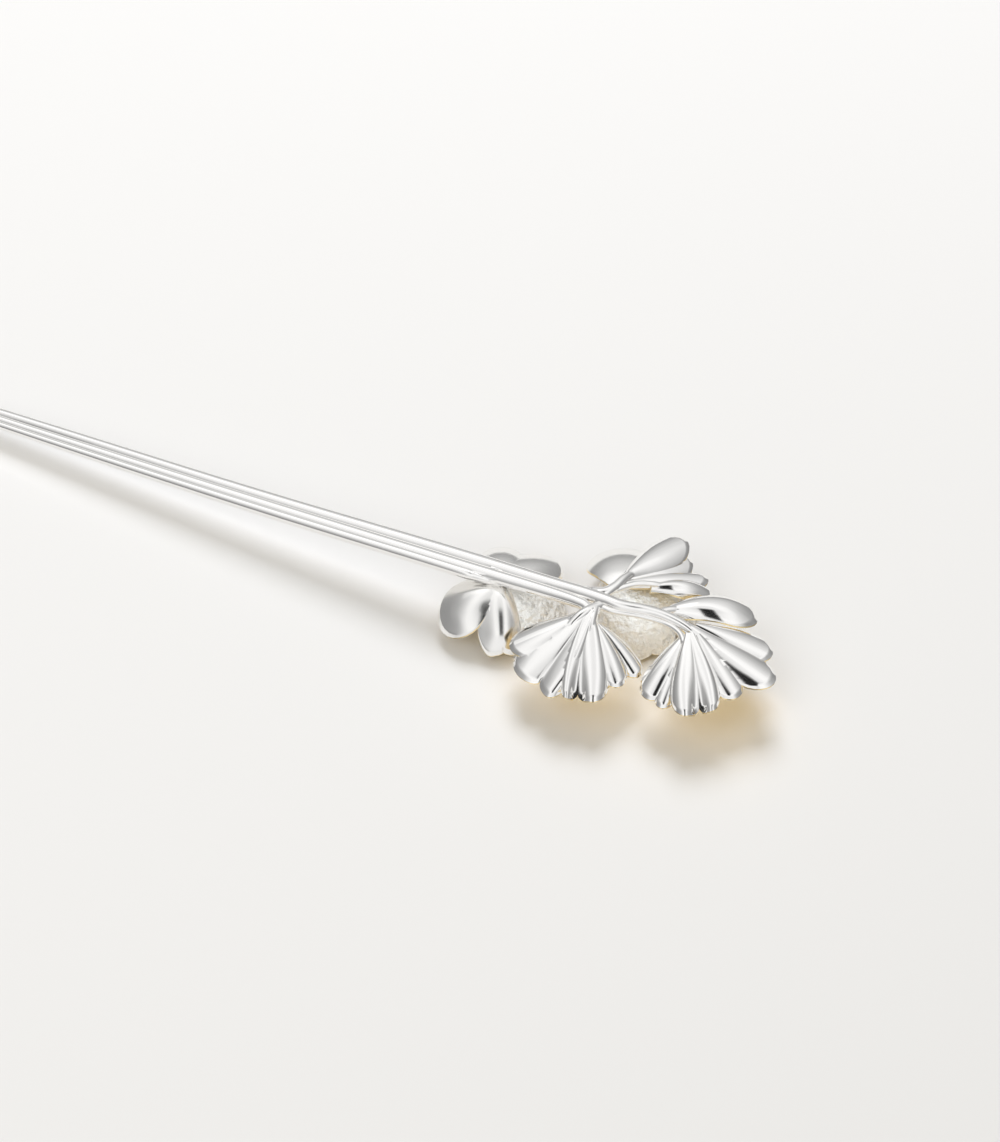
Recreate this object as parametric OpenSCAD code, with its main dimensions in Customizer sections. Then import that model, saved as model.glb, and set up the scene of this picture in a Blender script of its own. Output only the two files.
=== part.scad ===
// Hair stick: a ribbed silver shaft whose ribs branch into three lobed leaves,
// with two blossoms riveted under it. It lies face down, with its back up.
// Lengths are millimetres. X runs along the shaft towards the leaves, Z points up.
// Tables below place their rows from the fork, where the shaft's ribs part.

/* [Shaft] */
// Length of the ribbed shaft, from the fork to its tip
shaft_length = 138; // [125:1:150]
// Radius of the widest rib where the shaft nears the fork
rib_radius = 1.0; // [0.8:0.05:1.1]
// Radius of the rounded tip
tip_radius = 0.8; // [0.6:0.05:0.9]

/* [Leaves and petals] */
// Thickness of the silver in a leaf lobe
leaf_wall = 0.62; // [0.5:0.01:0.9]
// Thickness of the silver in a petal
petal_wall = 0.62; // [0.5:0.01:0.9]
// How far the last fifth of a lobe bends down at its end
tip_dip = 0.5; // [0:0.1:0.8]
// Part of a lobe's length at which it is widest
widest_at = 0.8; // [0.6:0.05:0.9]

/* [Blossom fixing] */
// Diameter of a rivet's shank
shank_d = 1.2; // [1:0.1:1.4]
// Diameter of a rivet's domed head
rivet_head_d = 3.2; // [2.6:0.1:3.6]
// Clearance round a rivet and between seated faces
clearance = 0.1; // [0.08:0.01:0.15]

/* [Hidden] */

// Arch of a lobe's root as a part of its half width, how late its creases deepen, and
// the part of its length after which its end bends down
base_arch = 0.8;
crease_growth = 1.5;
dip_start = 0.8;

// Steps along a lobe, and across each of its ridges
lobe_steps = 6;
ridge_steps = 4;
single_ridge_steps = 6;
// Facets of the ribs and branches, and of the bosses, sockets and rivets
rib_fn = 8;
round_fn = 24;

// Columns of a lobe's row
START = 0;
HEADING = 1;
LENGTH = 2;
FALL = 3;
BASE_W = 4;
HALF_W = 5;
RIDGES = 6;
BOW = 7;
CROWN = 8;
NOTCH = 9;
SHOULDER = 10;
RIM_DROP = 11;
CREASE = 12;
SKEW = 13;
LEAN = 14;

// Leaf lobes: start, heading in degrees, length, fall to the tip, half widths at the base
// and the widest place, number of ridges, sideways bow, lengthwise crown, notch between
// ridges and rounding of the shoulders as parts of the length, drop to the rim and into
// the crease, sideways shift of the crease, and how much longer the left side is
upper_leaf = [
    [[1.8, 7.6, 9.9], 59, 11.0, 1.7, 0.7, 2.7, 1, 0.3, 1.3, 0, 0.35, 1.5, 0, 0, 0],
    [[2.7, 8.1, 9.3], 46, 8.8, 1.7, 0.5, 2.0, 1, 0, 0.8, 0, 0.3, 0.9, 0, 0, 0],
    [[1.5, 3.6, 9.8], 33.5, 13.7, 2.2, 0.8, 2.2, 2, 0.6, 1.1, 0.1, 0.3, 1.4, 0.5, 0, 0],
];
end_leaf = [
    [[9.4, 3.6, 9.4], 21.5, 13.0, 2.0, 0.5, 2.2, 1, 0.6, 0.9, 0, 0.35, 1.3, 0, 0, 0],
    [[14.3, 2.0, 9.5], 3.5, 11.7, 2.2, 0.6, 1.9, 1, 0.2, 0.7, 0, 0.35, 1.3, 0, 0, 0],
    [[12.8, 1.6, 9.7], -12, 14.9, 2.6, 0.8, 2.7, 1, -0.3, 0.9, 0, 0.3, 1.5, 0, 0, 0],
    [[15.0, 0.6, 9.4], -34, 10.4, 2.7, 0.6, 2.15, 1, 0, 0.8, 0, 0.35, 1.3, 0, 0, 0],
    [[14.0, 0.2, 9.6], -62, 11.6, 2.6, 0.8, 3.7, 2, 0, 1.0, 0.08, 0.3, 1.6, 0.9, 0, -0.04],
    [[13.5, 0.1, 9.05], -91, 10.3, 2.6, 0.6, 2.3, 2, 0, 1.0, 0.06, 0.3, 1.4, 0.7, 0, -0.03],
];
lower_leaf = [
    [[-1.1, -2.8, 9.5], -134, 11.4, 3.0, 0.5, 2.2, 2, 0.2, 1.0, 0.05, 0.35, 1.2, 0.3, 0.2, 0],
    [[-0.4, -1.8, 9.8], -104, 14.2, 3.6, 0.8, 4.2, 2, -0.2, 1.4, 0.1, 0.3, 1.6, 1.3, 0, 0],
    [[-0.2, -2.3, 9.7], -70, 12.8, 3.4, 0.8, 3.3, 2, 0, 1.4, 0.08, 0.3, 1.6, 1.2, 0, 0.02],
    [[1.5, -3.4, 8.85], -33, 9.4, 3.0, 0.5, 2.5, 2, 0.2, 1.0, 0.08, 0.35, 1.4, 0.6, 0, -0.03],
];
leaf_lobes = concat(upper_leaf, end_leaf, lower_leaf);

// Petals: heading in degrees, length, fall to the tip, half width, number of ridges.
// The sixth petal is a short one, under the stem that carries the blossom.
shaft_petals = [
    [-125, 10.4, 6.0, 3.4, 2],
    [-63.5, 11.5, 6.2, 3.0, 2],
    [0, 12.2, 5.8, 4.2, 2],
    [56, 11.9, 5.8, 3.8, 1],
    [113, 10.6, 5.8, 3.6, 1],
    [180, 7.0, 4.2, 2.8, 1],
];
fork_petals = [
    [136, 10.4, 4.8, 3.8, 1],
    [77, 11.0, 5.6, 4.0, 2],
    [17, 11.2, 5.6, 4.0, 2],
    [-47, 11.2, 6.2, 3.9, 2],
    [-105, 11.0, 6.0, 3.8, 2],
    [193, 7.0, 4.0, 2.8, 1],
];
// What every petal shares
petal_base_w = 0.9;
petal_crown = 2.0;
petal_notch = 0.05;
petal_shoulder = 0.45;
petal_rim_drop = 1.4;
petal_crease = 0.4;

// Low vein down the front of a petal: its places along the petal, and its radius
vein_places = [0.12, 0.3, 0.5];
vein_r = 0.35;

// The two blossoms: where the middle lies, and the petals
AT = 0;
PETALS = 1;
on_shaft = [[-16.0, 0.1], shaft_petals];
at_fork = [[2.2, 7.6], fork_petals];

// Bosses under the stem, the calyx of each blossom and the rivet through it
boss_top = 9.1;
boss_r = 1.3;
calyx_r = 2.45;
calyx_h = 1.8;
socket_h = 1.0;
head_h = 1.0;

// Ribs of the shaft after the tip that they share, with x as a part of the shaft's
// length and the radius as a part of the widest one: x, y, z, radius
far_rib = [
    [0.725, 0.9, 3.0, 0.62], [0.413, 1.2, 6.0, 0.85],
    [0.167, 1.6, 8.2, 1.0], [0.058, 1.5, 9.2, 1.0], [0.014, 1.1, 9.6, 1.0], [0, 0.7, 9.7, 1.0],
];
middle_rib = [
    [0.725, 0, 2.9, 0.68], [0.413, 0, 5.8, 0.75],
    [0.167, -0.1, 8.1, 0.85], [0.058, -0.1, 9.1, 0.85], [0.018, -0.6, 9.4, 0.85],
    [0.007, -1.2, 9.4, 0.8],
];
near_rib = [
    [0.725, -0.9, 2.8, 0.35], [0.413, -1.1, 5.7, 0.45],
    [0.181, -1.25, 8.0, 0.55], [0.145, -1.45, 8.1, 0.5], [0.123, -1.2, 8.05, 0.6],
];

// Branches and veins past the fork: x, y, z, radius
branches = [
    // To the upper leaf's large lobe
    [[-3, 1.2, 9.5, 0.9], [-0.8, 1.5, 9.7, 0.9], [0.4, 2.4, 9.8, 0.85], [0.9, 4.1, 9.8, 0.75],
        [1.5, 6.6, 9.9, 0.7], [2.2, 9.0, 9.8, 0.7], [3.4, 11.2, 9.3, 0.6]],
    // To the upper leaf's second lobe, and the low rib beside it
    [[0.6, 2.9, 9.7, 0.7], [1.9, 4.6, 9.7, 0.6], [4.0, 6.2, 9.4, 0.5]],
    [[0.7, 2.4, 9.5, 0.5], [2.0, 3.7, 9.4, 0.5], [4.6, 5.0, 9.0, 0.5]],
    // Main stem to the end leaf, and the thin rib along its near side
    [[-2, 0.9, 9.6, 1.0], [0.5, 0.7, 9.8, 0.95], [3.2, 0.7, 9.9, 0.9], [6.7, 1.4, 9.9, 0.85],
        [9.7, 1.6, 9.9, 0.8], [12.9, 1.4, 9.8, 0.8], [15.5, 0.6, 9.4, 0.7]],
    [[0.5, -0.6, 9.4, 0.5], [2.6, -0.8, 9.5, 0.5], [6.5, 0.1, 9.5, 0.5], [10.1, 0.5, 9.4, 0.5],
        [12.6, 0.1, 9.3, 0.55], [14.0, -1.4, 9.0, 0.6]],
    // To the lower leaf
    [[0.3, 0.4, 9.6, 0.9], [-0.6, -1.6, 9.7, 0.8], [-1.3, -3.4, 9.6, 0.7]],
    [[-0.2, -0.8, 9.5, 0.7], [0.4, -2.9, 9.6, 0.7], [0.9, -4.8, 9.4, 0.55]],
    // To the root of the end leaf's first lobe
    [[9.7, 1.6, 9.7, 0.7], [9.6, 3.0, 9.4, 0.6], [11.2, 4.3, 9.2, 0.5]],
];

function unit(v) = v / norm(v);

// Across a lobe: pairs of the ridge's number and the place in it, from 0 to 1
function across(ridges) =
    let (steps = ridges == 1 ? single_ridge_steps : ridge_steps)
    [for (ridge = [0:ridges - 1]) for (k = [(ridge == 0 ? 0 : 1):steps])
        [ridge, (1 - cos(180 * k / steps)) / 2]];

// One point of a lobe's back, in the lobe's own axes
function lobe_point(lobe, ridge, place, t) =
    let (
        ridges = lobe[RIDGES],
        edge = abs(2 * place - 1),
        outer = (ridge == 0 && place < 0.5) || (ridge == ridges - 1 && place > 0.5),
        side_raw = 2 * (ridge + place) / ridges - 1,
        side = side_raw + lobe[SKEW] * (1 - side_raw * side_raw),
        rounding = outer ? lobe[SHOULDER] : lobe[NOTCH],
        reach = (1 + lobe[LEAN] * side) * (1 - rounding * (1 - sqrt(max(0, 1 - edge * edge)))),
        s = t * reach,
        growth = sin(90 * min(1, s / widest_at)),
        half_w = lobe[BASE_W] + (lobe[HALF_W] - lobe[BASE_W]) * growth,
        base_drop = base_arch * lobe[BASE_W],
        drop = edge * edge * (outer
            ? base_drop + (lobe[RIM_DROP] - base_drop) * growth
            : lobe[CREASE] * pow(growth, crease_growth)),
        dip = tip_dip * pow(max(0, (s - dip_start) / (1 - dip_start)), 2)
    )
    [lobe[LENGTH] * s,
        lobe[BOW] * 4 * s * (1 - s) + side * half_w,
        lobe[CROWN] * 4 * s * (1 - s) - drop - dip];

// Axes of a lobe: along it, across it and out of its back
function lobe_axes(lobe) =
    let (
        flat = sqrt(lobe[LENGTH] * lobe[LENGTH] - lobe[FALL] * lobe[FALL]),
        along = [cos(lobe[HEADING]) * flat, sin(lobe[HEADING]) * flat, -lobe[FALL]] / lobe[LENGTH],
        side = unit(cross([0, 0, 1], along))
    )
    [along, side, cross(along, side)];

// Back of a lobe, or its front when lowered by the wall
function lobe_face(lobe, lowered) =
    let (axes = lobe_axes(lobe))
    [for (i = [0:lobe_steps]) for (c = across(lobe[RIDGES]))
        let (p = lobe_point(lobe, c[0], c[1], i / lobe_steps))
        lobe[START] + axes[0] * p[0] + axes[1] * p[1] + axes[2] * (p[2] - lowered)];

// A lobe is a curved shell with convex ridges, creases between them and a notched end
module lobe_shell(lobe, wall) {
    columns = len(across(lobe[RIDGES]));
    back_points = (lobe_steps + 1) * columns;
    function at(i, j) = i * columns + j;
    last_row = lobe_steps;
    last_col = columns - 1;
    back_faces = [for (i = [0:last_row - 1]) for (j = [0:last_col - 1])
        each [[at(i, j), at(i, j + 1), at(i + 1, j + 1)],
            [at(i, j), at(i + 1, j + 1), at(i + 1, j)]]];
    front_faces = [for (f = back_faces) [f[2], f[1], f[0]] + back_points * [1, 1, 1]];
    rim = concat(
        [for (j = [0:last_col]) at(0, j)],
        [for (i = [1:last_row]) at(i, last_col)],
        [for (j = [last_col - 1:-1:0]) at(last_row, j)],
        [for (i = [last_row - 1:-1:1]) at(i, 0)]);
    rim_faces = [for (k = [0:len(rim) - 1])
        let (a = rim[k], b = rim[(k + 1) % len(rim)])
        each [[b, a, a + back_points], [b, a + back_points, b + back_points]]];
    polyhedron(
        points = concat(lobe_face(lobe, 0), lobe_face(lobe, wall)),
        faces = concat(back_faces, front_faces, rim_faces));
}

// A round branch through a row of points, each with its radius
module branch(points) {
    for (i = [0:len(points) - 2])
        hull() {
            for (p = [points[i], points[i + 1]])
                translate([p[0], p[1], p[2]]) sphere(r = p[3], $fn = rib_fn);
        }
}

// How far the facets of the rounded tip reach from its middle
tip_reach = tip_radius * cos(180 / rib_fn);

// A shaft rib from the tip, which lies on the table, with the driving sizes applied
function rib_points(rib) = concat(
    [[-shaft_length, 0, tip_reach, tip_radius]],
    [for (p = rib) [-p[0] * shaft_length, p[1], p[2], p[3] * rib_radius]]);

// Lobe rows of a blossom's petals, with their roots at the given point
function petal_lobes(petals, root) = [for (p = petals)
    [root, p[0], p[1], p[2], petal_base_w, p[3], p[4], 0,
        petal_crown, petal_notch, petal_shoulder, petal_rim_drop, petal_crease, 0, 0]];

// Height of the middle of a blossom's back, so that its lowest petal lies on the table
function back_z(petals) = -min([for (lobe = petal_lobes(petals, [0, 0, 0]))
    for (p = lobe_face(lobe, petal_wall)) p[2]]);

// The box of the whole stick, so that its origin can lie under the middle
head_points = [for (lobe = leaf_lobes) each lobe_face(lobe, 0)];
head_xs = [for (p = head_points) p[0]];
head_ys = [for (p = head_points) p[1]];
middle_x = (max(head_xs) - shaft_length - tip_reach) / 2;
middle_y = (max(head_ys) + min(head_ys)) / 2;

module placed() {
    translate([-middle_x, -middle_y, 0]) children();
}

// Boss under the stem above a blossom, and the blind socket of the rivet in it
module boss(blossom) {
    bottom = back_z(blossom[PETALS]) + clearance;
    translate([blossom[AT][0], blossom[AT][1], bottom])
        cylinder(r = boss_r, h = boss_top - bottom, $fn = round_fn);
}

module socket(blossom) {
    bottom = back_z(blossom[PETALS]);
    translate([blossom[AT][0], blossom[AT][1], bottom - clearance])
        cylinder(d = shank_d + 2 * clearance, h = socket_h + 2 * clearance, $fn = round_fn);
}

module stick() color("whitesmoke") placed() {
    difference() {
        union() {
            for (rib = [far_rib, middle_rib, near_rib]) branch(rib_points(rib));
            for (points = branches) branch(points);
            for (lobe = leaf_lobes) lobe_shell(lobe, leaf_wall);
            boss(on_shaft);
            boss(at_fork);
        }
        socket(on_shaft);
        socket(at_fork);
    }
}

// Low vein down the front of a petal's first half
module petal_vein(lobe) {
    axes = lobe_axes(lobe);
    points = [for (s = vein_places)
        let (p = lobe[START] + axes[0] * (lobe[LENGTH] * s)
            + axes[2] * (lobe[CROWN] * 4 * s * (1 - s) - petal_wall))
        [p[0], p[1], p[2], vein_r]];
    branch(points);
}

// A blossom: its petals, their veins, and a calyx that the rivet passes through
module whole_blossom(blossom) color("gainsboro") placed() {
    back = back_z(blossom[PETALS]);
    middle = [blossom[AT][0], blossom[AT][1], back];
    difference() {
        union() {
            for (lobe = petal_lobes(blossom[PETALS], middle)) {
                lobe_shell(lobe, petal_wall);
                petal_vein(lobe);
            }
            translate(middle - [0, 0, calyx_h]) cylinder(r = calyx_r, h = calyx_h, $fn = round_fn);
        }
        translate(middle - [0, 0, back])
            cylinder(d = shank_d + 2 * clearance, h = boss_top, $fn = round_fn);
        translate(middle) cylinder(r = boss_r + clearance, h = boss_top, $fn = round_fn);
    }
}

module shaft_blossom() whole_blossom(on_shaft);

module fork_blossom() whole_blossom(at_fork);

// A rivet: a shank from the boss through the blossom, with a domed head at the front
module rivet(blossom) color("gold") placed() {
    back = back_z(blossom[PETALS]);
    head_top = back - calyx_h - clearance;
    shank_bottom = head_top - head_h / 2;
    translate([blossom[AT][0], blossom[AT][1], shank_bottom])
        cylinder(d = shank_d, h = back + socket_h - shank_bottom, $fn = round_fn);
    translate([blossom[AT][0], blossom[AT][1], head_top]) mirror([0, 0, 1])
        rotate_extrude($fn = round_fn)
            intersection() {
                scale([1, 2 * head_h / rivet_head_d]) circle(d = rivet_head_d, $fn = round_fn);
                square([rivet_head_d, rivet_head_d]);
            }
}

module shaft_rivet() rivet(on_shaft);

module fork_rivet() rivet(at_fork);

stick();
shaft_blossom();
fork_blossom();
shaft_rivet();
fork_rivet();
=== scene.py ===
"""Silver hair stick with lobed leaves and two blossoms, lying face down on a pale table."""
import math

import bpy
import numpy as np
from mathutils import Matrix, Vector


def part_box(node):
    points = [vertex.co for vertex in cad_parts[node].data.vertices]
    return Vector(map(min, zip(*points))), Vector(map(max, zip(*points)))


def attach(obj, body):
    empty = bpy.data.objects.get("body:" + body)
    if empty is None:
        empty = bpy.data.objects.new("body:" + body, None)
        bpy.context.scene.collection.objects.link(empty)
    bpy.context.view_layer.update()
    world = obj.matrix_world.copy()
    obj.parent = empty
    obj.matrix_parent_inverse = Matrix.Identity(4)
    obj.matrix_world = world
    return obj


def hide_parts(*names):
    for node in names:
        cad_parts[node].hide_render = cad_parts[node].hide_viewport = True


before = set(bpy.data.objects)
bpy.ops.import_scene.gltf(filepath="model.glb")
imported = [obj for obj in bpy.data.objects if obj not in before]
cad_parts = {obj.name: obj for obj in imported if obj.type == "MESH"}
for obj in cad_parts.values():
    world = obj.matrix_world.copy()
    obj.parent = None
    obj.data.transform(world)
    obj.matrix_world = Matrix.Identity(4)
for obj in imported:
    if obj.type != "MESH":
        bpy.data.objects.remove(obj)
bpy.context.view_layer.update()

MM = 0.001

# Places of the materials in a piece's list
SILVER_FACE, GOLD_FACE, SATIN_FACE = 0, 1, 2

# Columns of a leaf lobe's row, in millimetres and degrees, placed from the fork of the stick
LOBE_COLUMNS = ("start", "heading", "length", "fall", "base_w", "half_w", "ridges", "bow", "crown",
                "notch", "shoulder", "rim_drop", "crease", "skew", "lean", "pillow")
UPPER_LEAF = [
    ((1.75, 6.4, 10.25), 64.5, 11.4, 0.85, 0.68, 2.8, 1, 0.1, 0.3, 0, 0.35, 1.1, 0, 0, 0, 2.1),
    ((2.1, 5.8, 9.7), 54, 10.9, 1.6, 0.6, 2.7, 1, 0, 0.3, 0, 0.35, 0.9, 0, 0, 0, 2.2),
    ((1.7, 4.6, 9.9), 37.5, 13.2, 2.3, 0.5, 1.8, 1, 0.4, 0.4, 0, 0.3, 0.9, 0, 0, 0, 2.2),
    ((5.6, 6.4, 9.3), 28, 9.2, 2.2, 0.6, 1.9, 1, 0.2, 1.2, 0, 0.3, 1.4, 0, 0, 0, 2.0),
]
END_LEAF = [
    ((9.5, 3.5, 9.4), 22, 12.9, 1.4, 1.4, 2.6, 1, 0.6, 1.7, 0, 0.35, 1.1, 0, 0, 0, 2.4),
    ((14.3, 2.2, 9.9), 8, 11.7, 2.6, 0.6, 2.5, 1, 0.2, 0.2, 0, 0.35, 0.9, 0, 0, 0, 2.0),
    ((12.8, 1.7, 10.1), -9.5, 15.4, 3.0, 0.8, 2.9, 1, -0.3, 0.3, 0, 0.3, 1.0, 0, 0, 0, 2.0),
    ((15.3, 0.5, 10.0), -33.5, 10.8, 3.2, 0.6, 2.6, 1, 0, 0.2, 0, 0.35, 1.1, 0, 0, 0, 2.2),
    ((14.1, 0.2, 10.0), -61, 12.4, 3.0, 0.8, 3.6, 2, 0, 0.2, 0.08, 0.3, 1.3, 1.1, 0.1, -0.04, 1.9),
    ((13.4, 0.0, 9.5), -98, 10.9, 3.6, 0.5, 2.4, 1, 0.1, 0.5, 0, 0.3, 1.1, 0, 0, 0, 2.2),
    ((13.7, 0.0, 9.4), -86, 11.4, 3.6, 0.5, 1.8, 1, 0, 0.3, 0, 0.3, 1.1, 0, 0, 0, 2.2),
]
LOWER_LEAF = [
    ((-1.1, -2.8, 9.9), -136, 11.6, 3.4, 0.5, 2.8, 1, 0.2, 0.3, 0, 0.35, 1.0, 0, 0, 0, 2.0),
    ((-0.4, -1.8, 10.3), -107.5, 14.1, 4.8, 0.8, 4.9, 2, -0.2, 0.3, 0.1, 0.25, 1.3, 0.55, 0.25, 0, 1.8),
    ((-0.2, -2.3, 10.1), -70, 13.5, 3.9, 0.8, 3.5, 2, 0, 0.1, 0.08, 0.25, 1.3, 1.1, -0.25, 0.02, 1.9),
    ((1.4, -3.4, 9.3), -46, 9.8, 3.0, 0.5, 2.0, 1, 0.1, 0.3, 0, 0.3, 1.0, 0, 0, 0, 2.2),
    ((1.6, -3.2, 9.2), -23, 9.4, 3.5, 0.5, 1.8, 1, 0.3, 0.2, 0, 0.3, 1.0, 0, 0, 0, 2.2),
]

# Columns of a petal's row. The drops are from its crest to its rim, at the root and at the widest
PETAL_COLUMNS = ("heading", "length", "fall", "base_w", "half_w", "crown", "root_drop", "rim_drop",
                 "ridges", "crease", "notch", "tongue", "skew", "finish")
SHAFT_PETALS = [
    (-118.5, 11.2, 4.9, 1.6, 4.2, 1.1, 0.2, 0.9, 1, 0, 0.07, 0.2, 0.1, SILVER_FACE),
    (-61.5, 11.5, 5.3, 1.6, 3.4, 1.2, 0.3, 1.1, 2, 0, 0.04, 0.25, 0.1, SILVER_FACE),
    (-6, 12.0, 5.6, 1.6, 5.4, 1.0, 0.2, 1.6, 2, 0.1, 0.06, 0, 0.05, SATIN_FACE),
    (56, 11.7, 3.6, 1.6, 3.7, 1.0, 0.2, 1.3, 1, 0, 0, 0, 0, SILVER_FACE),
    (106, 8.9, 2.9, 1.6, 3.6, 1.0, 0.2, 1.2, 1, 0, 0, 0, 0, SILVER_FACE),
    (175, 6.6, 4.2, 1.6, 2.8, 0.8, 0.2, 0.8, 1, 0, 0, 0, 0, SATIN_FACE),
]
FORK_PETALS = [
    (136, 10.8, 4.0, 3.0, 4.8, 1.6, 0.2, 1.5, 1, 0, 0, 0, 0, SILVER_FACE),
    (82, 11.0, 5.6, 1.6, 4.2, 1.6, 0.2, 1.2, 2, 0.15, 0.06, 0, 0, SATIN_FACE),
    (17, 11.2, 5.6, 1.6, 4.2, 1.6, 0.2, 1.1, 2, 0.15, 0.06, 0, 0, SATIN_FACE),
    (-47, 11.2, 6.2, 1.6, 4.6, 1.6, 0.2, 1.1, 2, 0.2, 0.05, 0, 0, SATIN_FACE),
    (-100, 11.0, 6.0, 1.6, 4.4, 1.6, 0.2, 1.1, 2, 0.2, 0.05, 0, 0, SATIN_FACE),
    (188, 7.0, 4.0, 1.6, 2.8, 0.8, 0.2, 0.8, 1, 0, 0, 0, 0, SATIN_FACE),
]

# Middles of the blossoms from the fork, and the height of their backs above the table
SHAFT_BLOSSOM_AT = (-16.0, 0.1)
FORK_BLOSSOM_AT = (2.2, 7.6)
BLOSSOM_BACK = 7.14
# The stick's boss over each blossom: the gap beneath it, its top and its radius
SEAT_GAP = 0.1
BOSS_TOP = 9.1
BOSS_RADIUS = 0.9
# The eye of each blossom's front: its depths below the blossom's back, and its radius
EYE_DEPTHS = (1.8, 1.0)
EYE_RADIUS = 2.2

# Ribs of the shaft and branches past the fork: x, y, z, radius
SHAFT_LENGTH = 138.0
TIP = (-SHAFT_LENGTH, 0.0, 0.8, 0.8)
RIBS = [
    [TIP, (-100, 0.8, 2.8, 0.85), (-57, 0.6, 5.45, 1.1), (-23, 0.95, 7.75, 1.2),
     (-8, 0.95, 8.9, 1.1), (-3, 0.9, 9.45, 1.05), (0.4, 0.8, 9.8, 0.95), (3.2, 0.7, 9.9, 0.9),
     (6.7, 1.4, 9.9, 0.85), (9.7, 1.6, 9.9, 0.8), (12.9, 1.4, 9.5, 0.7), (15.5, 0.7, 8.8, 0.5)],
    [TIP, (-100, -0.25, 2.6, 0.8), (-57, -0.6, 5.2, 1.1), (-23, -0.7, 7.65, 1.15),
     (-8, -0.6, 8.8, 1.0), (-2.5, -0.9, 9.4, 0.85), (-1, -1.3, 9.4, 0.8)],
    [TIP, (-100, -1.15, 2.65, 0.6), (-57, -1.6, 5.25, 0.8), (-25, -1.7, 7.65, 0.85),
     (-18.5, -1.55, 7.9, 0.75), (-14.5, -1.1, 7.9, 0.45)],
]
BRANCHES = [
    [(-4, 1.2, 9.3, 0.7), (-1.4, 1.5, 9.6, 0.85), (0.2, 2.1, 9.75, 0.85), (1.1, 3.6, 9.85, 0.78),
     (1.6, 5.4, 9.85, 0.72), (2.2, 7.2, 9.5, 0.62), (3.0, 9.0, 9.1, 0.5), (3.8, 10.8, 8.7, 0.3)],
    [(0.6, 2.2, 9.5, 0.5), (1.7, 3.6, 9.7, 0.48), (3.6, 5.5, 9.7, 0.45), (5.4, 6.5, 9.5, 0.45),
     (7.2, 7.4, 9.0, 0.4)],
    [(0.5, -0.3, 9.4, 0.5), (2.6, -0.35, 9.5, 0.42), (6.5, 0.5, 9.5, 0.42), (10.1, 0.8, 9.4, 0.42),
     (12.6, 0.1, 9.3, 0.45), (14.0, -1.4, 9.0, 0.5)],
    [(1.0, 0.6, 9.4, 0.6), (0.1, -0.6, 9.5, 0.75), (-0.9, -2.3, 9.6, 0.8),
     (-1.9, -4.0, 9.1, 0.7), (-3.4, -7.2, 7.3, 0.6)],
    [(0.2, -0.2, 9.4, 0.6), (0.2, -1.8, 9.5, 0.72), (0.6, -3.8, 9.05, 0.7),
     (1.6, -7.6, 7.3, 0.6)],
    [(8.8, 1.6, 9.5, 0.6), (9.2, 2.7, 9.5, 0.6), (10.6, 3.9, 9.2, 0.55), (12.6, 4.8, 8.4, 0.4)],
]

# The fork's place on the table, from the rivet that the tables place from the fork
rivet_low, rivet_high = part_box("fork_rivet")
FORK = np.array([(rivet_low.x + rivet_high.x) / 2 / MM - FORK_BLOSSOM_AT[0],
                 (rivet_low.y + rivet_high.y) / 2 / MM - FORK_BLOSSOM_AT[1], 0.0])

# Wall of a lobe in its middle and at its rim, and how late the wall thins towards the lobe's
# sides and its end
WALL = 0.62
RIM_WALL = 0.36
SIDE_THINNING = 4
END_THINNING = 8
# Part of a lobe's length at which it is widest, and the arch of a leaf lobe's root as a part of
# its half width there
WIDEST_AT = 0.8
BASE_ARCH = 0.95
# Part of a lobe's length past which its end bends down, and how far it bends
LIP_START = 0.945
LEAF_LIP = 0.28
PETAL_LIP = 0.25
# Part of a lobe's steps past which its rim is gilt almost to the back, and not only at the front
LEAF_GILT_FROM = 0.8
PETAL_GILT_FROM = 0.5
# A ridge falls by this power of the way to its edge, so it is flat on top and steep beside its
# creases. A leaf lobe with more ridges is flatter still
PETAL_PILLOW = 2.6
PILLOW_PER_RIDGE = 0.8
# Part of a crease's depth that it has early on, and the power by which the rest deepens
CREASE_EARLY = 0.2
CREASE_POWER = 2.5
# Flat floor of a deep crease at the rim, as a part of half a ridge
VALLEY_FLOOR = 0.45
# Fine groove in a crease: depth, width as a part of half a ridge, and the depth of crease from
# which the groove is whole
GROOVE = 0.15
GROOVE_WIDTH = 0.15
GROOVED_CREASE = 0.3
# Raised middle of a petal, as parts of its half width and length: where it starts to slope at
# its sides and its end, and how far it slopes
TONGUE_HALF = 0.1
TONGUE_SLOPE = 0.7
TONGUE_END = 0.7
TONGUE_END_SLOPE = 0.25

# Mesh steps along a lobe and the power that crowds them at its end, and steps across a ridge,
# round a rim, round a rib, between two of its points, over its rounded end and round a disc
ALONG = 34
CROWDING = 1.5
ACROSS = 14
RIM_RINGS = 3
ROUND = 20
RIB_STEPS = 10
BRANCH_STEPS = 8
CAP_RINGS = 4
DISC_SIDES = 40
# A sharper bend than this stays an edge
SMOOTH_ANGLE = math.radians(38)


def unit(v):
    return v / np.linalg.norm(v)


def smooth_step(x):
    return x * x * (3 - 2 * x)


def lobe_row(row):
    """A lobe of a leaf."""
    lobe = dict(zip(LOBE_COLUMNS, row))
    lobe.update(root_drop=BASE_ARCH * lobe["base_w"], arched=0, tongue=0, lip=LEAF_LIP,
                gilt_from=LEAF_GILT_FROM, finish=SILVER_FACE)
    return lobe


def petal_row(at, row):
    """A petal of the blossom whose middle is given."""
    lobe = dict(zip(PETAL_COLUMNS, row))
    lobe.update(start=(at[0], at[1], BLOSSOM_BACK), bow=0, shoulder=0.5, lean=0, arched=1,
                pillow=PETAL_PILLOW, lip=PETAL_LIP, gilt_from=PETAL_GILT_FROM)
    return lobe


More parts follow.
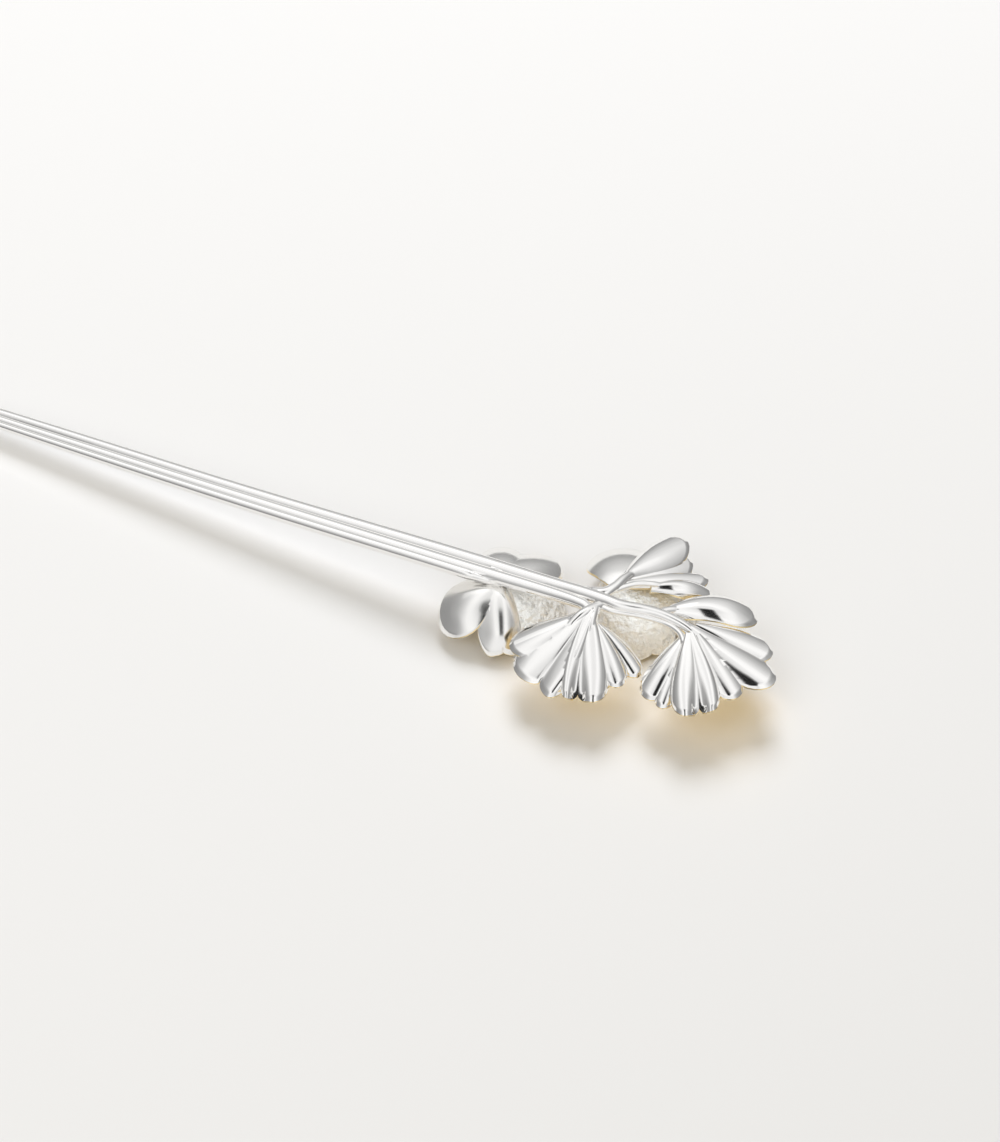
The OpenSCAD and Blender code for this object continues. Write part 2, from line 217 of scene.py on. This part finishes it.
def lobe_axes(lobe):
    """Along the lobe, across it and out of its back."""
    heading = math.radians(lobe["heading"])
    flat = math.sqrt(lobe["length"] ** 2 - lobe["fall"] ** 2)
    along = np.array([math.cos(heading) * flat, math.sin(heading) * flat, -lobe["fall"]])
    along /= lobe["length"]
    side = unit(np.cross((0, 0, 1), along))
    return along, side, np.cross(along, side)


def lobe_back(lobe):
    """Grid of points of a lobe's back in its own axes, and how near each one is to the rim."""
    ridges = lobe["ridges"]
    columns = [(r, (1 - math.cos(math.pi * k / ACROSS)) / 2)
               for r in range(ridges) for k in range(0 if r == 0 else 1, ACROSS + 1)]
    ridge = np.array([c[0] for c in columns], float)
    place = np.array([c[1] for c in columns])
    edge = np.abs(2 * place - 1)
    outer = ((ridge == 0) & (place < 0.5)) | ((ridge == ridges - 1) & (place > 0.5))
    raw = 2 * (ridge + place) / ridges - 1
    side = raw + lobe["skew"] * (1 - raw * raw)
    rounding = np.where(outer, lobe["shoulder"], lobe["notch"])
    reach_round = np.sqrt(np.maximum(0, 1 - edge**2))
    reach = (1 + lobe["lean"] * side) * (1 - rounding * (1 - reach_round))
    t = 1 - np.linspace(1, 0, ALONG + 1)[:, None] ** CROWDING
    s = t * reach[None, :]
    growth = np.sin(math.pi / 2 * np.minimum(1, s / WIDEST_AT))
    half_w = lobe["base_w"] + (lobe["half_w"] - lobe["base_w"]) * growth
    to_rim = lobe["root_drop"] + (lobe["rim_drop"] - lobe["root_drop"]) * growth
    depth = CREASE_EARLY * growth + (1 - CREASE_EARLY) * s**CREASE_POWER
    to_crease = lobe["crease"] * depth
    groove = np.where(outer, 0, GROOVE * np.exp(-((1 - edge) / GROOVE_WIDTH) ** 2))
    groove = groove * np.minimum(1, lobe["crease"] / GROOVED_CREASE) * growth * (1 - s)
    flatness = lobe["pillow"] + PILLOW_PER_RIDGE * (ridges - 1)
    pillowed = np.where(outer, edge**flatness, 0)
    arched = lobe["arched"] * raw**2 + (1 - lobe["arched"]) * pillowed
    floor = VALLEY_FLOOR * min(1, lobe["crease"]) ** 2
    valley = np.minimum(1, edge / (1 - floor * s**2)) ** lobe["pillow"]
    valley = np.where(outer, 0, valley)
    drop = arched * to_rim + valley * to_crease + groove
    beside = np.clip((np.abs(raw) - TONGUE_HALF) / TONGUE_SLOPE, 0, 1)
    beyond = np.clip((s - TONGUE_END) / TONGUE_END_SLOPE, 0, 1)
    drop = drop - lobe["tongue"] * growth * (1 - smooth_step(beside)) * (1 - smooth_step(beyond))
    dip = lobe["lip"] * (np.maximum(0, t - LIP_START) / (1 - LIP_START))
    dip = dip * (1 - valley * min(1, lobe["crease"])) * np.where(outer, reach_round, 1)
    arch = 4 * s * (1 - s)
    points = np.stack([lobe["length"] * s, lobe["bow"] * arch + side * half_w,
                       lobe["crown"] * arch - drop - dip], axis=-1)
    side_near = np.where(outer, edge, 0)[None, :] ** SIDE_THINNING
    rim_near = np.maximum(side_near, t**END_THINNING)
    return points, rim_near


def lobe_mesh(lobe):
    """A closed shell: silver back, gold front, and a rounded rim between them."""
    points, rim_near = lobe_back(lobe)
    rows, cols = points.shape[:2]
    wall = WALL + (RIM_WALL - WALL) * rim_near
    front = points.copy()
    front[..., 2] -= wall
    loop = ([(0, j) for j in range(cols)] + [(i, cols - 1) for i in range(1, rows)]
            + [(rows - 1, j) for j in range(cols - 2, -1, -1)]
            + [(i, 0) for i in range(rows - 2, 0, -1)])
    rim = np.array([points[i, j] for i, j in loop])
    rim_wall = np.array([wall[i, j] for i, j in loop])
    tangent = np.roll(rim, -1, 0) - np.roll(rim, 1, 0)
    outward = np.cross(tangent, (0, 0, 1))
    outward /= np.linalg.norm(outward, axis=1)[:, None]
    verts = list(points.reshape(-1, 3)) + list(front.reshape(-1, 3))
    count = rows * cols
    faces, kinds = [], []
    for i in range(rows - 1):
        for j in range(cols - 1):
            a = i * cols + j
            b, c, d = a + 1, a + cols + 1, a + cols
            faces.append((a, d, c, b))
            kinds.append(lobe["finish"])
            faces.append((a + count, b + count, c + count, d + count))
            kinds.append(GOLD_FACE)
    rings = [[i * cols + j for i, j in loop]]
    for k in range(1, RIM_RINGS + 1):
        angle = math.pi * k / (RIM_RINGS + 1)
        ring = rim + outward * (rim_wall * 0.5 * math.sin(angle))[:, None]
        ring[:, 2] -= rim_wall * 0.5 * (1 - math.cos(angle))
        rings.append([len(verts) + n for n in range(len(loop))])
        verts += list(ring)
    rings.append([n + count for n in rings[0]])
    for k in range(len(rings) - 1):
        upper, lower = rings[k], rings[k + 1]
        for n in range(len(loop)):
            m = (n + 1) % len(loop)
            faces.append((upper[n], upper[m], lower[m], lower[n]))
            plain = 1 if loop[n][0] > lobe["gilt_from"] * rows else RIM_RINGS
            kinds.append(lobe["finish"] if k < plain else GOLD_FACE)
    along, side, up = lobe_axes(lobe)
    basis = np.array([along, side, up])
    return np.array(verts) @ basis + np.array(lobe["start"]), faces, kinds


def smooth_path(points, steps):
    """Catmull-Rom curve through rows of x, y, z and radius."""
    p = np.array(points, float)
    q = np.vstack([2 * p[0] - p[1], p, 2 * p[-1] - p[-2]])
    out = []
    for i in range(1, len(q) - 2):
        a, b, c, d = q[i - 1:i + 3]
        for k in range(steps):
            t = k / steps
            out.append(0.5 * (2 * b + (c - a) * t + (2 * a - 5 * b + 4 * c - d) * t**2
                              + (3 * b - a - 3 * c + d) * t**3))
    out.append(p[-1])
    return np.array(out)


def cap_angle(k):
    """Angle of a rounded end's ring. The last ring is half a step before the pole."""
    return math.pi / 2 * k / (CAP_RINGS + 0.5)


def tube_mesh(points, steps):
    """A round rib or branch with rounded ends."""
    path = smooth_path(points, steps)
    centres, radii = path[:, :3], path[:, 3]
    tangents = np.gradient(centres, axis=0)
    tangents /= np.linalg.norm(tangents, axis=1)[:, None]
    rings = []
    for k in range(CAP_RINGS, 0, -1):
        angle = cap_angle(k)
        rings.append((centres[0] - tangents[0] * radii[0] * math.sin(angle), tangents[0],
                      radii[0] * math.cos(angle)))
    rings += list(zip(centres, tangents, radii))
    for k in range(1, CAP_RINGS + 1):
        angle = cap_angle(k)
        rings.append((centres[-1] + tangents[-1] * radii[-1] * math.sin(angle), tangents[-1],
                      radii[-1] * math.cos(angle)))
    verts = []
    for centre, tangent, radius in rings:
        side = unit(np.cross((0, 0, 1), tangent))
        up = np.cross(tangent, side)
        for n in range(ROUND):
            angle = 2 * math.pi * n / ROUND
            verts.append(centre + radius * (side * math.cos(angle) + up * math.sin(angle)))
    faces = []
    for k in range(len(rings) - 1):
        for n in range(ROUND):
            m = (n + 1) % ROUND
            a, b = k * ROUND + n, k * ROUND + m
            faces.append((a, b, b + ROUND, a + ROUND))
    first, last = len(verts), len(verts) + 1
    verts.append(centres[0] - tangents[0] * radii[0])
    verts.append(centres[-1] + tangents[-1] * radii[-1])
    top = (len(rings) - 1) * ROUND
    for n in range(ROUND):
        m = (n + 1) % ROUND
        faces.append((first, m, n))
        faces.append((last, top + n, top + m))
    return np.array(verts), faces, [SILVER_FACE] * len(faces)


def disc_mesh(at, z_low, z_high, radius, kind):
    """An upright cylinder."""
    verts = []
    for z in (z_low, z_high):
        for n in range(DISC_SIDES):
            angle = 2 * math.pi * n / DISC_SIDES
            verts.append((at[0] + radius * math.cos(angle), at[1] + radius * math.sin(angle), z))
    verts += [(at[0], at[1], z_low), (at[0], at[1], z_high)]
    faces = []
    for n in range(DISC_SIDES):
        m = (n + 1) % DISC_SIDES
        faces.append((n, m, DISC_SIDES + m, DISC_SIDES + n))
        faces.append((2 * DISC_SIDES, m, n))
        faces.append((2 * DISC_SIDES + 1, DISC_SIDES + n, DISC_SIDES + m))
    return np.array(verts), faces, [kind] * len(faces)


def build_object(name, mesh, materials):
    """A Blender object, in metres, of a mesh in millimetres from the fork."""
    verts, faces, kinds = mesh
    data = bpy.data.meshes.new(name)
    data.from_pydata([tuple((v + FORK) * MM) for v in verts], [], faces)
    data.update()
    data.polygons.foreach_set("material_index", kinds)
    for material in materials:
        data.materials.append(material)
    obj = bpy.data.objects.new(name, data)
    bpy.context.scene.collection.objects.link(obj)
    return obj


def fuse(name, meshes, materials):
    """One solid out of many closed ones."""
    objects = [build_object(f"{name}_{i}", mesh, materials) for i, mesh in enumerate(meshes)]
    body = objects[0]
    body.name = name
    for other in objects[1:]:
        modifier = body.modifiers.new("union", "BOOLEAN")
        modifier.operation = "UNION"
        modifier.solver = "MANIFOLD"
        modifier.object = other
    bpy.context.view_layer.update()
    graph = bpy.context.evaluated_depsgraph_get()
    data = bpy.data.meshes.new_from_object(body.evaluated_get(graph))
    body.modifiers.clear()
    body.data = data
    for other in objects[1:]:
        bpy.data.objects.remove(other)
    return body


def finish_piece(piece, node):
    """Shade a piece and put it in its node's place."""
    piece.data.shade_smooth()
    piece.data.set_sharp_from_angle(angle=SMOOTH_ANGLE)
    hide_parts(node)
    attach(piece, "root")


def principled(name):
    """A new material, its node tree's nodes and links, and its shader."""
    material = bpy.data.materials.new(name)
    material.use_nodes = True
    nodes, links = material.node_tree.nodes, material.node_tree.links
    return material, nodes, links, nodes["Principled BSDF"]


def metal(name, colour, roughness, bump_scale, bump_mm, metallic=1.0):
    """Metal with a fine uneven skin: the scale of its bumps, and their depth."""
    material, nodes, links, shader = principled(name)
    shader.inputs["Base Color"].default_value = (*colour, 1)
    shader.inputs["Metallic"].default_value = metallic
    shader.inputs["Roughness"].default_value = roughness
    coords = nodes.new("ShaderNodeTexCoord")
    noise = nodes.new("ShaderNodeTexNoise")
    noise.inputs["Scale"].default_value = bump_scale
    noise.inputs["Detail"].default_value = 3.0
    bump = nodes.new("ShaderNodeBump")
    bump.inputs["Strength"].default_value = 1.0
    bump.inputs["Distance"].default_value = bump_mm * MM
    links.new(coords.outputs["Object"], noise.inputs["Vector"])
    links.new(noise.outputs["Fac"], bump.inputs["Height"])
    links.new(bump.outputs["Normal"], shader.inputs["Normal"])
    return material


silver = metal("polished_silver", (0.95, 0.94, 0.925), 0.10, 320, 0.015)
cast = metal("cast_silver", (0.94, 0.93, 0.91), 0.18, 700, 0.01)
# Satin silver is rougher and half metallic, and its cream tint is painted reflection of the leaves'
# gold fronts above it
satin_gold_sheen = metal("satin_silver_gold_sheen", (0.96, 0.945, 0.91), 0.34, 900, 0.9, 0.5)
gold = metal("gold_plate", (0.94, 0.78, 0.47), 0.25, 1200, 0.01)

# The stick
stick_parts = [tube_mesh(rib, RIB_STEPS) for rib in RIBS]
stick_parts += [tube_mesh(branch, BRANCH_STEPS) for branch in BRANCHES]
stick_parts += [lobe_mesh(lobe_row(row)) for row in UPPER_LEAF + END_LEAF + LOWER_LEAF]
for at in (SHAFT_BLOSSOM_AT, FORK_BLOSSOM_AT):
    stick_parts.append(disc_mesh(at, BLOSSOM_BACK + SEAT_GAP, BOSS_TOP, BOSS_RADIUS, SILVER_FACE))
stick = fuse("stick_silver", stick_parts, [silver, gold, satin_gold_sheen])
finish_piece(stick, "stick")

# The blossoms
for name, at, petals, node in (("shaft_flower", SHAFT_BLOSSOM_AT, SHAFT_PETALS, "shaft_blossom"),
                               ("fork_flower", FORK_BLOSSOM_AT, FORK_PETALS, "fork_blossom")):
    parts = [lobe_mesh(petal_row(at, petal)) for petal in petals]
    eye_low, eye_high = (BLOSSOM_BACK - depth for depth in EYE_DEPTHS)
    parts.append(disc_mesh(at, eye_low, eye_high, EYE_RADIUS, GOLD_FACE))
    flower = fuse(name, parts, [cast, gold, satin_gold_sheen])
    finish_piece(flower, node)

# The rivets
for node in ("shaft_rivet", "fork_rivet"):
    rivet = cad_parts[node]
    rivet.data.materials.clear()
    rivet.data.materials.append(gold)

# The table: half its width in metres, its grey and its roughness
TABLE_HALF = 3.0
TABLE_GREY = 0.82
TABLE_ROUGHNESS = 0.9
table_data = bpy.data.meshes.new("table")
corners = [(-TABLE_HALF, -TABLE_HALF, 0), (TABLE_HALF, -TABLE_HALF, 0), (TABLE_HALF, TABLE_HALF, 0),
           (-TABLE_HALF, TABLE_HALF, 0)]
table_data.from_pydata(corners, [], [(0, 1, 2, 3)])
table = bpy.data.objects.new("table", table_data)
bpy.context.scene.collection.objects.link(table)
table_material, _, _, table_shader = principled("pale_table")
table_shader.inputs["Base Color"].default_value = (TABLE_GREY, TABLE_GREY, TABLE_GREY, 1)
table_shader.inputs["Roughness"].default_value = TABLE_ROUGHNESS
table_shader.inputs["Specular IOR Level"].default_value = 0.0
table_data.materials.append(table_material)

# The camera: the viewing angle that the stick's own foreshortening shows, the distance in
# millimetres, the focal length in pixels of the photo, and the fork's place in the photo and its
# height
VIEW_AZIMUTH = math.radians(-25)
VIEW_ELEVATION = math.radians(50)
VIEW_DISTANCE = 480.0
FOCAL_PX = 3360.0
IMAGE_W, IMAGE_H = 1000, 1142
FORK_PX = (598, 603)
FORK_HEIGHT = 9.6
right = np.array([math.cos(VIEW_AZIMUTH), -math.sin(VIEW_AZIMUTH), 0.0])
forward = np.array([math.sin(VIEW_AZIMUTH) * math.cos(VIEW_ELEVATION),
                    math.cos(VIEW_AZIMUTH) * math.cos(VIEW_ELEVATION), -math.sin(VIEW_ELEVATION)])
above = np.cross(right, forward)
offset_x = (FORK_PX[0] - IMAGE_W / 2) / FOCAL_PX * VIEW_DISTANCE
offset_y = -(FORK_PX[1] - IMAGE_H / 2) / FOCAL_PX * VIEW_DISTANCE
eye = (FORK + np.array([0, 0, FORK_HEIGHT]) - VIEW_DISTANCE * forward - offset_x * right
       - offset_y * above)
camera_data = bpy.data.cameras.new("camera")
camera_data.sensor_width = 36.0
camera_data.lens = FOCAL_PX / IMAGE_H * camera_data.sensor_width
camera_data.clip_start = 0.01
camera_data.clip_end = 20
camera = bpy.data.objects.new("camera", camera_data)
camera.location = Vector(eye * MM)
camera.rotation_euler = Vector(forward).to_track_quat("-Z", "Y").to_euler()
bpy.context.scene.collection.objects.link(camera)
bpy.context.scene.camera = camera


def area_lamp(name, shape, size, power, colour):
    """A flat lamp: its length and width in metres, and its power in watts."""
    data = bpy.data.lights.new(name, "AREA")
    data.shape = shape
    data.size, data.size_y = size
    data.energy = power
    data.color = colour
    lamp = bpy.data.objects.new(name, data)
    bpy.context.scene.collection.objects.link(lamp)
    return lamp


def aim_at_fork(lamp, direction, distance):
    """Stand a lamp off from the fork. The metal mirrors the studio and not this lamp, so that
    its outline doesn't show there."""
    lamp.location = Vector(FORK * MM + direction * distance)
    lamp.rotation_euler = Vector(-direction).to_track_quat("-Z", "Y").to_euler()
    lamp.visible_glossy = False


# The key light: a large soft lamp high behind the stick, which casts its shadow towards the
# viewer. Sizes and distances are in metres
KEY_ELEVATION = math.radians(45)
KEY_DISTANCE = 1.0
KEY_SIZE = 0.5
KEY_POWER = 7.3
KEY_COLOUR = (0.98, 1.0, 1.05)
behind = np.array([math.sin(VIEW_AZIMUTH), math.cos(VIEW_AZIMUTH), 0.0])
key_dir = behind * math.cos(KEY_ELEVATION) + np.array([0, 0, math.sin(KEY_ELEVATION)])
key = area_lamp("key", "DISK", (KEY_SIZE, KEY_SIZE), KEY_POWER, KEY_COLOUR)
aim_at_fork(key, key_dir, KEY_DISTANCE)

# A broad weak lamp by the viewer's left hand, which evens out the table towards that corner
FILL_TOWARDS_VIEWER = 0.4
FILL_TO_LEFT = 0.5
FILL_UP = 0.75
FILL_DISTANCE = 0.5
FILL_SIZE = 0.4
FILL_POWER = 0.5
fill_dir = (-FILL_TOWARDS_VIEWER * behind - FILL_TO_LEFT * right) + np.array([0, 0, FILL_UP])
fill_dir /= np.linalg.norm(fill_dir)
fill = area_lamp("fill", "DISK", (FILL_SIZE, FILL_SIZE), FILL_POWER, (1, 1, 1))
aim_at_fork(fill, fill_dir, FILL_DISTANCE)

# What the polished metal throws back, as weak lamps beneath it: white under the shaft and over
# the blossoms, and gold under the leaves. Columns: name, middle, length, width, turn, power,
# colour
BOUNCE_TILT = -18
BOUNCES = [
    ("shaft_bounce", (-72, -3.4, 1.6), 108, 5.0, -1.5, 0.00038, (1, 0.97, 0.95)),
    ("blossom_bounce", (-8.5, -3.4, 8.6), 7, 3, 0, 0.00016, (0.9, 1.0, 1.1)),
    ("lower_bounce", (0, -8, 4.5), 16, 14, 0, 0.00022, (1, 0.60, 0.05)),
    ("end_bounce", (19, -5, 4.5), 18, 14, 0, 0.00022, (1, 0.60, 0.05)),
    ("petal_bounce", (7.5, 3.0, 8.3), 11, 5, 0, 0.00032, (0.9, 1.0, 1.1)),
]
for name, middle, length, width, turn, power, colour in BOUNCES:
    bounce = area_lamp(name, "RECTANGLE", (length * MM, width * MM), power, colour)
    bounce.location = Vector((FORK + np.array(middle)) * MM)
    bounce.rotation_euler = (math.radians(BOUNCE_TILT), 0, math.radians(turn))
    bounce.visible_glossy = False
    bounce.visible_camera = False

# A white card above the shaft, which only the metal mirrors
CARD_MIDDLE = (-105, 46, 114)
CARD_LENGTH = 160
CARD_WIDTH = 60
CARD_TILT = -25
CARD_POWER = 0.0085
card = area_lamp("shaft_card", "RECTANGLE", (CARD_LENGTH * MM, CARD_WIDTH * MM), CARD_POWER,
                 (1, 1, 1))
card.location = Vector((FORK + np.array(CARD_MIDDLE)) * MM)
card.rotation_euler = (math.radians(CARD_TILT), 0, 0)
card.visible_camera = False
card.visible_diffuse = False

# The studio that the metal mirrors. Rows of elevation in degrees and grey, behind the stick,
# towards the viewer and at both sides: pale overhead, and darker low down behind the stick and
# at its sides
BEHIND_GREYS = ((0, 0.28), (10, 0.4), (24, 0.56), (38, 0.71), (50, 0.83), (60, 1.0),
                (72, 1.08), (82, 0.9), (90, 0.84))
FRONT_GREYS = ((0, 0.85), (12, 0.86), (30, 0.93), (45, 1.06), (60, 1.03), (75, 0.88), (90, 0.84))
SIDE_GREYS = ((0, 0.25), (15, 0.3), (33, 0.4), (48, 0.56), (62, 0.78), (74, 1.04),
              (84, 0.9), (90, 0.84))
# The grey that counts as 1 on the colour ramps, which hold nothing above 1
WHITEST = 1.2
# How far a direction points behind the stick, or to a side, where one set of greys gives way
FRONT_BACK_BLEND = 0.35
SIDES_FROM, SIDES_FULL = 0.35, 0.8
# Tint of the studio's light on rough surfaces, in place of the warmth that the stick's gold side
# throws into its shadows
WARM_BOUNCE = (0.67, 0.635, 0.56)
# The viewer's side has a dark upright slit, with a soft shade round it. Columns, in degrees: half
# widths of its core and with its soft edge, where its foot starts and is full, where its head
# starts to fade and ends. The last is how much light it takes away
SLITS = ((6.0, 10.0, 34, 42, 78, 87, 0.98), (8.0, 30.0, 46, 58, 78, 92, 0.12))

world = bpy.data.worlds.new("studio")
world.use_nodes = True
bpy.context.scene.world = world
nodes, links = world.node_tree.nodes, world.node_tree.links
direction = nodes.new("ShaderNodeTexCoord").outputs["Generated"]


def towards(vector):
    """How far each direction points along a vector."""
    dot = nodes.new("ShaderNodeVectorMath")
    dot.operation = "DOT_PRODUCT"
    dot.inputs[1].default_value = tuple(vector)
    links.new(direction, dot.inputs[0])
    return dot.outputs["Value"]


def remap(value, low, high):
    """A smooth rise from 0 to 1 between two values."""
    node = nodes.new("ShaderNodeMapRange")
    node.interpolation_type = "SMOOTHSTEP"
    node.inputs["From Min"].default_value = low
    node.inputs["From Max"].default_value = high
    links.new(value, node.inputs["Value"])
    return node.outputs["Result"]


def calculate(operation, first, second=None):
    """A sum on one or two values, the second of which may be a plain number."""
    node = nodes.new("ShaderNodeMath")
    node.operation = operation
    links.new(first, node.inputs[0])
    if second is not None:
        if isinstance(second, (int, float)):
            node.inputs[1].default_value = second
        else:
            links.new(second, node.inputs[1])
    return node.outputs[0]


def greys(elevation, stops):
    """Greys by elevation, from rows of degrees and grey."""
    ramp = nodes.new("ShaderNodeValToRGB")
    ramp.color_ramp.interpolation = "EASE"
    elements = ramp.color_ramp.elements
    while len(elements) < len(stops):
        elements.new(0.5)
    for element, (degrees, grey) in zip(elements, stops):
        element.position = degrees / 90
        element.color = (grey / WHITEST, grey / WHITEST, grey / WHITEST, 1)
    links.new(elevation, ramp.inputs["Fac"])
    return ramp.outputs["Color"]


def blend_greys(factor, first, second):
    """A blend of two colours, the second of which may be a plain grey."""
    mix = nodes.new("ShaderNodeMix")
    mix.data_type = "RGBA"
    links.new(factor, mix.inputs["Factor"])
    links.new(first, mix.inputs["A"])
    if isinstance(second, float):
        mix.inputs["B"].default_value = (second, second, second, 1)
    else:
        links.new(second, mix.inputs["B"])
    return mix.outputs["Result"]


elevation = calculate("MULTIPLY", calculate("ARCSINE", towards((0, 0, 1))), 2 / math.pi)
across = calculate("ABSOLUTE", towards(right))
facing = remap(towards(behind), -FRONT_BACK_BLEND, FRONT_BACK_BLEND)
sideways = remap(across, SIDES_FROM, SIDES_FULL)
room = blend_greys(facing, greys(elevation, FRONT_GREYS), greys(elevation, BEHIND_GREYS))
room = blend_greys(sideways, room, greys(elevation, SIDE_GREYS))
front_up = calculate("ARCTAN2", towards((0, 0, 1)), towards(-behind))
for core, soft, foot_start, foot_full, head_full, head_end, depth in SLITS:
    within = remap(across, math.sin(math.radians(soft)), math.sin(math.radians(core)))
    past_foot = remap(front_up, math.radians(foot_start), math.radians(foot_full))
    below_head = remap(front_up, math.radians(head_end), math.radians(head_full))
    shade = calculate("MULTIPLY", calculate("MULTIPLY", within, past_foot), below_head)
    room = blend_greys(calculate("MULTIPLY", shade, depth), room, 0.0)
warmth = nodes.new("ShaderNodeMix")
warmth.data_type = "RGBA"
warmth.blend_type = "MULTIPLY"
warmth.inputs["B"].default_value = (*WARM_BOUNCE, 1)
links.new(nodes.new("ShaderNodeLightPath").outputs["Is Diffuse Ray"], warmth.inputs["Factor"])
links.new(room, warmth.inputs["A"])
background = nodes["Background"]
links.new(warmth.outputs["Result"], background.inputs["Color"])
background.inputs["Strength"].default_value = WHITEST

bpy.context.scene.view_settings.view_transform = "Standard"
